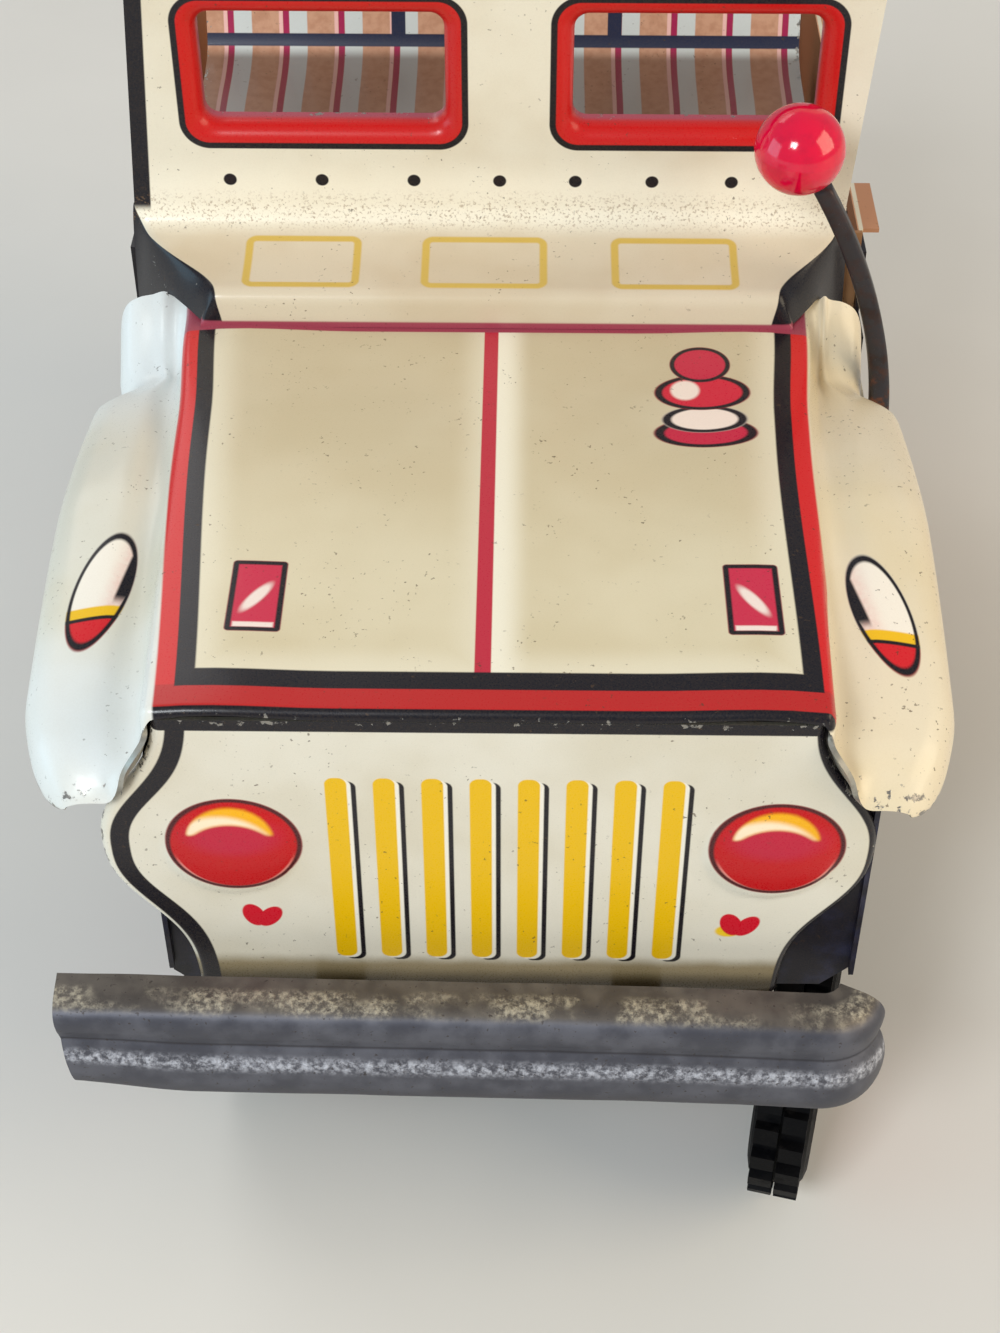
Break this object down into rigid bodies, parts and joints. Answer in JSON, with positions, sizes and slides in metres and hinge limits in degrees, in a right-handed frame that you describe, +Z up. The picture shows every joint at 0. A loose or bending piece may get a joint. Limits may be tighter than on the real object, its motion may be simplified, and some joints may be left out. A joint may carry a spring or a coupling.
{
  "type": "tin toy off-road car",
  "caption": "Open tin toy off-road car with a lever-driven flywheel motor, steerable front axle, printed hood, grille and windscreen, bench seat and curled bumper.",
  "frame": {"origin": "on the ground under the middle of the car's overall length and width", "axes": "+Z up, -Y towards the front bumper, +X towards the car's own left side, where the lever is"},
  "size_m": [0.0885, 0.164, 0.114],
  "materials": {
    "cream_tin": "gloss",
    "navy_tin": "gloss",
    "floor_tin": "gloss",
    "seat_tin": "gloss",
    "bare_tin": "satin",
    "plate_steel": "satin",
    "turned_steel": "polished",
    "spring_wire": "satin",
    "gear_brass": "satin",
    "sector_steel": "satin",
    "flywheel_iron": "satin",
    "red_wheel": "gloss",
    "tyre_rubber": "matte",
    "lever_steel": "satin",
    "knob_red": "gloss"
  },
  "bodies": {
    "chassis": {"hood_fenders": "cream_tin", "grille_panel": "cream_tin", "windscreen_panel": "cream_tin", "apron_left": "navy_tin", "apron_right": "navy_tin", "side_panel_left": "cream_tin", "side_panel_right": "cream_tin", "rear_panel": "cream_tin", "floor_pan": "floor_tin", "seat": "seat_tin", "base_plate": "navy_tin", "front_bumper": "bare_tin", "bumper_stays": "bare_tin", "motor_plate_left": "plate_steel", "motor_plate_right": "plate_steel", "motor_pillars": "turned_steel", "return_spring": "spring_wire", "swivel_rivet": "turned_steel"},
    "front_steer": {"swivel_plate": "plate_steel", "front_axle": "turned_steel"},
    "front_wheel_left_body": {"front_wheel_left": "red_wheel", "front_tyre_left": "tyre_rubber", "front_cap_left": "turned_steel"},
    "front_wheel_right_body": {"front_wheel_right": "red_wheel", "front_tyre_right": "tyre_rubber", "front_cap_right": "turned_steel"},
    "rear_axle_body": {"rear_axle": "turned_steel", "axle_gear": "gear_brass", "rear_wheel_left": "red_wheel", "rear_wheel_right": "red_wheel", "rear_tyre_left": "tyre_rubber", "rear_tyre_right": "tyre_rubber", "rear_caps": "turned_steel"},
    "idler_body": {"idler_shaft": "turned_steel", "idler_pinion": "gear_brass", "idler_gear": "gear_brass"},
    "flywheel_body": {"flywheel_shaft": "turned_steel", "flywheel_pinion": "gear_brass", "flywheel": "flywheel_iron"},
    "lever_body": {"lever_arm": "lever_steel", "lever_knob": "knob_red", "lever_shaft": "turned_steel", "sector_gear": "sector_steel"},
    "lever_pinion_body": {"lever_pinion": "gear_brass"}
  },
  "joints": [
    {"name": "front_steer", "type": "hinge", "parent": "chassis", "child": "front_steer", "pos_m": [0, -0.0539, 0.0099], "axis": [0, 0, 1], "range_deg": [-4.5, 31.5]},
    {"name": "front_wheel_left_roll", "type": "hinge", "parent": "front_steer", "child": "front_wheel_left_body", "pos_m": [0, -0.0539, 0.017], "axis": [0.9724, -0.2334, 0], "continuous": true},
    {"name": "front_wheel_right_roll", "type": "hinge", "parent": "front_steer", "child": "front_wheel_right_body", "pos_m": [0, -0.0539, 0.017], "axis": [0.9724, -0.2334, 0], "continuous": true},
    {"name": "rear_axle_roll", "type": "hinge", "parent": "chassis", "child": "rear_axle_body", "pos_m": [0, 0.0441, 0.017], "axis": [1, 0, 0], "continuous": true},
    {"name": "idler_turn", "type": "hinge", "parent": "chassis", "child": "idler_body", "pos_m": [0, 0.03543, 0.0285], "axis": [1, 0, 0], "continuous": true},
    {"name": "flywheel_turn", "type": "hinge", "parent": "chassis", "child": "flywheel_body", "pos_m": [0, 0.01959, 0.03073], "axis": [1, 0, 0], "continuous": true},
    {"name": "lever_swing", "type": "hinge", "parent": "chassis", "child": "lever_body", "pos_m": [0, -0.01, 0.0615], "axis": [1, 0, 0], "range_deg": [0, 20], "stiffness_Nm_per_rad": 0.004},
    {"name": "lever_pinion_turn", "type": "hinge", "parent": "chassis", "child": "lever_pinion_body", "pos_m": [0, 0.01959, 0.03073], "axis": [1, 0, 0], "continuous": true}
  ],
  "couplings": [
    {"joint": "idler_turn", "follows": "rear_axle_roll", "ratio": -1.25},
    {"joint": "flywheel_turn", "follows": "rear_axle_roll", "ratio": 3.75},
    {"joint": "lever_pinion_turn", "follows": "lever_swing", "ratio": -9.6727}
  ]
}
